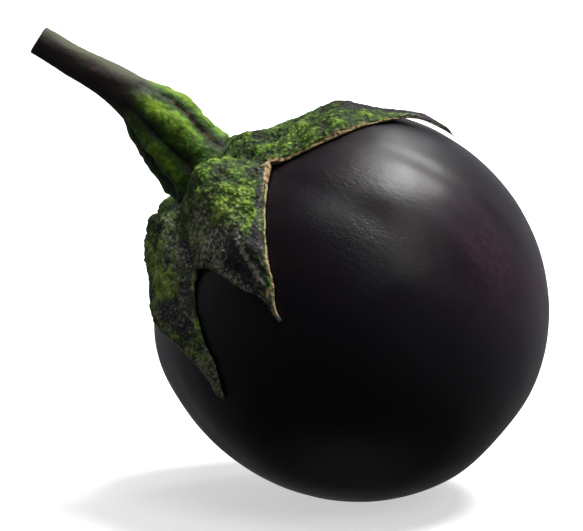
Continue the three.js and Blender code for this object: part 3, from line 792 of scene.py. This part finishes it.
# How dry each sepal's low and high edge is.
DRY_EDGES = {
    FRONT: (0.35, 1.0), UPPER: (0.85, 0.4), BACK_UPPER: (0.6, 0.5), BACK_LOWER: (0.6, 0.4), LOWER: (0.3, 0.4)
}

# The sepals' grain is a sum of noises: how many waves of each lie in a grain's size, and its weight.
GRAINS = [(1.0, 0.6), (2.1, 0.3), (0.4, 0.5)]
# Coarser chunks lie under the grain: their size and height, in grains' sizes and heights.
CHUNK_SIZE = 2.8
CHUNK_HEIGHT = 1.1
SMUDGE_SIZE = 2.6  # size in mm of the wobbles in the paints' outlines
SMUDGE_REACH = 0.12  # how far a wobble carries a paint across
MARGIN_WANDER = 0.5  # degrees that a free margin strays from its smooth line


def sepal_paint(index, along, across):
    """The shares of the four paints at a sepal's point."""
    shares = []
    for paint in range(len(PAINTS)):
        patches = PATCHES.get((index, paint), ())
        shares.append(sum(p[4] * bell(along - p[0], p[2]) * bell(across - p[1], p[3]) for p in patches))
    edge = DRY_EDGES[index][0 if across < 0 else 1]
    shares[DRY] += edge * ease((abs(across) - 0.94) / 0.05) * ease((along - 0.9) / 0.1)
    shares[HAIRS_AND_GLINTS] += GREYNESS_AND_SHEEN[index]
    return [clamp(share, 0, MOST_PAINT) for share in shares]


def make_calyx(settings):
    bm = bmesh.new()
    grain_layer = bm.verts.layers.float.new("grain")
    paint_layers = [bm.verts.layers.float.new(name) for name in PAINTS]
    grain_height = settings.grain_height / MILLIMETRE
    grain_size = settings.grain_size / MILLIMETRE

    def sepal_point(index, along, across, side, vert):
        """A painted point of a sepal, with side 1 on its outer face and 0 on its inner face."""
        polar, azimuth, free = sepal_place(index, along, across)
        height = sepal_height(index, along, across, polar, azimuth, free)
        # The free margins are thinner and stray a little, and the blade closes at its tip.
        height *= 1 - 0.5 * ease((abs(across) - 0.93) / 0.07) * ease(free / 0.1)
        wave = noise.noise((9 * along, 3 * index + across, 0.5))
        wave += 0.6 * noise.noise((31 * along, across, index))
        azimuth += math.radians(MARGIN_WANDER) * wave * abs(across) ** 9 * ease(free / 0.05)
        closing = 1 - ease((free - 0.94) / 0.06)
        stand = PIECE_GAP + sepal_lift(SEPALS[index], free) + side * height * closing
        base = polar_point(berry_radius(polar, azimuth) + stand, polar, azimuth)
        grain = sum(weight * noise.noise(base / grain_size * pace) for pace, weight in GRAINS)
        chunk = noise.noise(base / (CHUNK_SIZE * grain_size))
        # The grain follows the relief's height, and the material paints shade where it is low and light where
        # it is high.
        vert[grain_layer] = clamp(0.5 + 0.7 * grain + 0.8 * chunk)
        shift = SMUDGE_REACH * noise.noise(base / SMUDGE_SIZE)
        paints = sepal_paint(index, along + 0.6 * shift, clamp(across + shift * (1 - across**2), -1, 1))
        # Painted shade: no tan on the inner face and the lower part of a free margin's wall, which stay dark
        # as if in shadow.
        paints[DRY] *= ease(side / 0.6)
        for layer, share in zip(paint_layers, paints):
            vert[layer] = share
        # The grain is highest on fresh, thick flesh, and lies flat at the stalk and towards the tip.
        fade = side * ease((along + 0.2) / 0.3) * (1 - 0.6 * ease((free - 0.6) / 0.4))
        fade *= (0.6 + 0.4 * paints[FRESH_AND_LIT]) * (0.35 + 0.65 * min(1, height / 2))
        relief = (grain + CHUNK_HEIGHT * chunk) * grain_height * fade
        return base + base.normalized() * relief

    def face_point(index, x, y, side, vert):
        return sepal_point(index, row_along(y), column_across(x), side, vert)

    # Each sepal has an outer and an inner face, and walls along its free margins.
    for i in range(len(SEPALS)):
        add_sheet(bm, SEPAL_COLUMNS, SEPAL_ROWS, lambda v, x, y: face_point(i, 1 - x, y, 1, v))
        add_sheet(bm, UNDER_COLUMNS, SEPAL_ROWS, lambda v, x, y: face_point(i, x, y, 0, v))
        add_sheet(bm, BLADE_ROWS, WALL_ROWS, lambda v, x, y: sepal_point(i, 1 + x, -1, y, v))
        add_sheet(bm, BLADE_ROWS, WALL_ROWS, lambda v, x, y: sepal_point(i, 2 - x, 1, y, v))
    bmesh.ops.remove_doubles(bm, verts=bm.verts, dist=CALYX_WELD)
    return finish_piece(bm, "calyx_cap", sepal_flesh(settings), "calyx")


# Colour patches of the stalk: share of its length, azimuth, length, width in degrees, and strength.
# Fresh patches: bright green on the ribs, and the last is an olive painted highlight along the top of the
# bark.
STALK_FRESH_AND_LIT = [
    (0.5, 13, 0.12, 15, 1.2), (0.36, 32, 0.1, 10, 0.9), (0.25, 12, 0.1, 14, 0.2), (0.4, 72, 0.16, 14, 0.6),
    (0.3, -28, 0.16, 22, 0.55), (0.2, 80, 0.1, 15, 0.5), (0.25, 150, 0.2, 25, 0.5), (0.25, 210, 0.2, 25, 0.4),
    (0.85, 80, 0.35, 42, 0.9),
]
STALK_RUST = [
    (0.4, 49, 0.1, 6, 0.8), (0.2, 51, 0.12, 6, 0.7), (0.3, 180, 0.2, 8, 0.4), (0.8, 16, 0.25, 22, 0.3)
]
# The stalk's roughness, mm: the sizes of its bumps, and their height on the slender and the swollen part.
BUMP_SIZES = (1.8, 4.5)
BARK_ROUGHNESS = 0.12
RIB_ROUGHNESS = 0.5
# The cut end, mm: the bark's rim, how deep the cut face dries in, and how round its edge is.
CUT_RIM = 0.35
CUT_DISH = 0.15
CUT_ROUND = 1.0
# The stalk's pace at the cut: mm of height for a whole share of its length.
PACE_AT_CUT = (STALK[-1][1] - STALK[-2][1]) * (len(STALK) - 1)


def make_stalk(settings):
    bm = bmesh.new()
    grain_layer, bark_layer, cut_layer, fresh_and_lit_layer, rust_layer = [
        bm.verts.layers.float.new(name) for name in ("grain", "bark", "cut", "fresh_and_lit", "rust")
    ]

    def place(vert, x, y):
        """A painted point of the stalk, x round it and y up it."""
        angle = 2 * math.pi * x
        spot = stalk_point(y, angle)
        rough = sum(0.6 * noise.noise(spot / size) for size in BUMP_SIZES)
        # The grain is high on the ribs' crests and low in the grooves, where the material paints shade.
        vert[grain_layer] = clamp(0.15 + 0.85 * rib_wave(y, angle) ** 1.5 + 0.5 * rough)
        vert[fresh_and_lit_layer] = patch_share(STALK_FRESH_AND_LIT, y, angle)
        vert[rust_layer] = patch_share(STALK_RUST, y, angle)
        vert[bark_layer] = ease((y - 0.5) / 0.22 + 0.4 * rough)
        swollen = 1 - ease((y - 0.45) / 0.25)
        # The last of the bark curves in to the cut.
        inward = 1 - min(1, (1 - y) * PACE_AT_CUT / CUT_ROUND)
        rounding = CUT_ROUND * (1 - math.sqrt(1 - inward**2))
        return stalk_point(y, angle, rough * blend(BARK_ROUGHNESS, RIB_ROUGHNESS, swollen) - rounding)

    add_sheet(bm, STALK_SIDES, STALK_ROWS, place)
    bmesh.ops.remove_doubles(bm, verts=bm.verts, dist=STALK_WELD)
    ends = [edge for edge in bm.edges if edge.is_boundary]
    caps = bmesh.ops.holes_fill(bm, edges=ends, sides=0)["faces"]
    cut = max(caps, key=lambda cap: cap.calc_center_median().z)
    bmesh.ops.inset_individual(bm, faces=[cut], thickness=CUT_RIM, depth=-CUT_DISH)
    for vert in cut.verts:
        vert[cut_layer] = 1.0
    bmesh.ops.recalc_face_normals(bm, faces=bm.faces)
    return finish_piece(bm, "cut_stalk", stalk_skin(settings), "stem")


# ---- Stage ----

IMAGE_WIDTH = 583
IMAGE_HEIGHT = 531
FOCAL_PIXELS = 2139.6
SENSOR_WIDTH = 36.0
CAMERA_DISTANCE = 0.6  # from the berry's centre, m
CAMERA_AZIMUTH = -5.0  # degrees from straight in front
CAMERA_ELEVATION = 8.0
BERRY_PIXEL = (350.5, 305.5)  # where the berry's centre lies in the image
FLOOR_RADIUS = 20  # m
FLOOR_SIDES = 96
FLOOR_CLEARANCE = 0.00005  # m; keeps the floor from lying in the very plane of the flat spot
PAPER_GLOW = 0.6  # how brightly the floor shows on its own, so that no edge of it is seen


def camera_axes():
    """The camera's right, up and back directions, as the columns of a matrix."""
    azimuth = math.radians(CAMERA_AZIMUTH)
    elevation = math.radians(CAMERA_ELEVATION)
    level = math.cos(elevation)
    back = Vector((math.sin(azimuth) * level, -math.cos(azimuth) * level, math.sin(elevation)))
    right = Vector((math.cos(azimuth), math.sin(azimuth), 0))
    return Matrix((right, back.cross(right), back)).transposed()


def make_camera():
    """A camera that looks straight at the berry's centre, moved aside until that lies at its pixel."""
    axes = camera_axes()
    metres_per_pixel = CAMERA_DISTANCE / FOCAL_PIXELS
    aside = (BERRY_PIXEL[0] - IMAGE_WIDTH / 2) * metres_per_pixel
    above = (BERRY_PIXEL[1] - IMAGE_HEIGHT / 2) * metres_per_pixel
    data = bpy.data.cameras.new("camera")
    data.sensor_width = SENSOR_WIDTH
    data.lens = SENSOR_WIDTH * FOCAL_PIXELS / IMAGE_WIDTH
    data.clip_start = 0.01
    data.clip_end = 60
    camera = bpy.data.objects.new("camera", data)
    place = CENTRE + axes @ Vector((-aside, above, CAMERA_DISTANCE))
    camera.matrix_world = Matrix.Translation(place) @ axes.to_4x4()
    bpy.context.scene.collection.objects.link(camera)
    bpy.context.scene.camera = camera


def add_soft_light(name, direction, strength, spread, mirrored=True):
    """A distant soft light. direction points from the object to the light, as the camera sees it. A light
    that isn't mirrored lifts the matt sepals and leaves the waxy skin dark."""
    data = bpy.data.lights.new(name, "SUN")
    data.energy = strength
    data.angle = math.radians(spread)
    light = bpy.data.objects.new(name, data)
    towards = camera_axes() @ Vector(direction)
    light.rotation_mode = "QUATERNION"
    light.rotation_quaternion = towards.to_track_quat("Z", "Y")
    light.visible_glossy = mirrored
    bpy.context.scene.collection.objects.link(light)


def matt_paper(settings):
    """Matt white paper: no gloss, and lit evenly enough to show no edge."""
    material, tree = new_material("matt_white_paper")
    white = {"Base Color": settings.floor, "Roughness": 0.9, "Specular IOR Level": 0.1}
    glow = {"Emission Color": settings.floor, "Emission Strength": PAPER_GLOW}
    add_finish(tree, {**white, **glow})
    return material


def make_room(settings):
    """The light all round: strongest behind on the right, and fading below the level, apart from the table's
    bounce straight under the object. The camera sees a pale backdrop."""
    world = bpy.data.worlds.new("room")
    world.use_nodes = True
    tree = world.node_tree
    tree.nodes.clear()
    direction = add_node(tree, "ShaderNodeTexCoord", output="Generated")
    dim_side = {0: direction, 1: (-0.45, -0.87, 0.2)}
    facing = add_node(tree, "ShaderNodeVectorMath", dim_side, "Value", operation="DOT_PRODUCT")
    spread = {0: facing, 1: -1.0, 2: 0.85, 3: 7.0 * settings.sky, 4: 1.1 * settings.sky}
    glow = add_node(tree, "ShaderNodeMapRange", spread, clamp=True)
    height = add_node(tree, "ShaderNodeSeparateXYZ", {0: direction}, "Z")
    above = add_node(tree, "ShaderNodeMapRange", {0: height, 1: -0.85, 2: -0.1, 3: 0.05, 4: 1.0}, clamp=True)
    tabletop = {0: height, 1: -1.0, 2: -0.86, 3: 2.7 * settings.sky, 4: 0.0}
    bounce = add_node(tree, "ShaderNodeMapRange", tabletop, clamp=True)
    strength = add_node(tree, "ShaderNodeMath", {0: glow, 1: above, 2: bounce}, operation="MULTIPLY_ADD")
    room = add_node(tree, "ShaderNodeBackground", {"Color": linear("#f7f7ff"), "Strength": strength})
    wall = add_node(tree, "ShaderNodeBackground", {"Color": settings.floor, "Strength": 1.0})
    seen = add_node(tree, "ShaderNodeLightPath", output="Is Camera Ray")
    both = add_node(tree, "ShaderNodeMixShader", {0: seen, 1: room, 2: wall})
    add_node(tree, "ShaderNodeOutputWorld", {"Surface": both})
    return world


def make_stage(settings):
    """The floor, the room, the lights and the camera. The floor only shows: it neither lights the object nor
    is mirrored in it."""
    bm = bmesh.new()
    bmesh.ops.create_circle(bm, cap_ends=True, segments=FLOOR_SIDES, radius=FLOOR_RADIUS)
    bm.transform(Matrix.Translation((0, 0, -FLOOR_CLEARANCE)))
    floor = link_object(bm, "floor", matt_paper(settings))
    floor.visible_glossy = False
    floor.visible_diffuse = False
    bpy.context.scene.world = make_room(settings)
    add_soft_light("key", (0.385, 0.921, 0.012), settings.key, 23)
    add_soft_light("top", (0.29, 0.84, -0.45), settings.top, 14)
    add_soft_light("fill_high", (-0.05, 0.92, 0.378), 0.5 * settings.fill, 26)
    add_soft_light("fill_low", (0.462, 0.584, 0.667), 0.5 * settings.fill, 26)
    add_soft_light("fill_left", (-0.95, -0.2, 0.2), 0.5 * settings.fill, 50, mirrored=False)
    bpy.context.scene.view_settings.view_transform = "Standard"
    make_camera()


# ---- Operators, panel and registration ----


class EGGPLANT_OT_berry(bpy.types.Operator):
    """Model the berry with its waxy skin"""

    bl_idname = "eggplant.berry"
    bl_label = "Berry"

    def execute(self, context):
        make_berry(context.scene.eggplant_berry)
        return {"FINISHED"}


class EGGPLANT_OT_calyx(bpy.types.Operator):
    """Model the calyx with its granular sepals"""

    bl_idname = "eggplant.calyx"
    bl_label = "Calyx"

    def execute(self, context):
        make_calyx(context.scene.eggplant_calyx)
        return {"FINISHED"}


class EGGPLANT_OT_stalk(bpy.types.Operator):
    """Model the ribbed stalk"""

    bl_idname = "eggplant.stalk"
    bl_label = "Stalk"

    def execute(self, context):
        make_stalk(context.scene.eggplant_stalk)
        return {"FINISHED"}


class EGGPLANT_OT_stage(bpy.types.Operator):
    """Set the floor, the soft lights and the camera"""

    bl_idname = "eggplant.stage"
    bl_label = "Stage"

    def execute(self, context):
        make_stage(context.scene.eggplant_stage)
        return {"FINISHED"}


class EGGPLANT_PT_panel(bpy.types.Panel):
    bl_label = "Globe eggplant"
    bl_space_type = "VIEW_3D"
    bl_region_type = "UI"
    bl_category = "Eggplant"

    def draw(self, context):
        for kind in OPERATORS:
            self.layout.operator(kind.bl_idname)
        for settings in SETTINGS:
            box = self.layout.box()
            group = getattr(context.scene, settings)
            for name in group.bl_rna.properties.keys():
                if name not in ("name", "rna_type"):
                    box.prop(group, name)


OPERATORS = (EGGPLANT_OT_berry, EGGPLANT_OT_calyx, EGGPLANT_OT_stalk, EGGPLANT_OT_stage)
SETTINGS = {
    "eggplant_berry": EggplantBerrySettings,
    "eggplant_calyx": EggplantCalyxSettings,
    "eggplant_stalk": EggplantStalkSettings,
    "eggplant_stage": EggplantStageSettings,
}
CLASSES = (*SETTINGS.values(), *OPERATORS, EGGPLANT_PT_panel)


def register():
    for kind in CLASSES:
        bpy.utils.register_class(kind)
    for name, kind in SETTINGS.items():
        setattr(bpy.types.Scene, name, PointerProperty(type=kind))


def unregister():
    for name in SETTINGS:
        delattr(bpy.types.Scene, name)
    for kind in reversed(CLASSES):
        bpy.utils.unregister_class(kind)


def main():
    register()
    bpy.ops.eggplant.stage()
    bpy.ops.eggplant.berry()
    bpy.ops.eggplant.calyx()
    bpy.ops.eggplant.stalk()


if __name__ == "__main__":
    main()
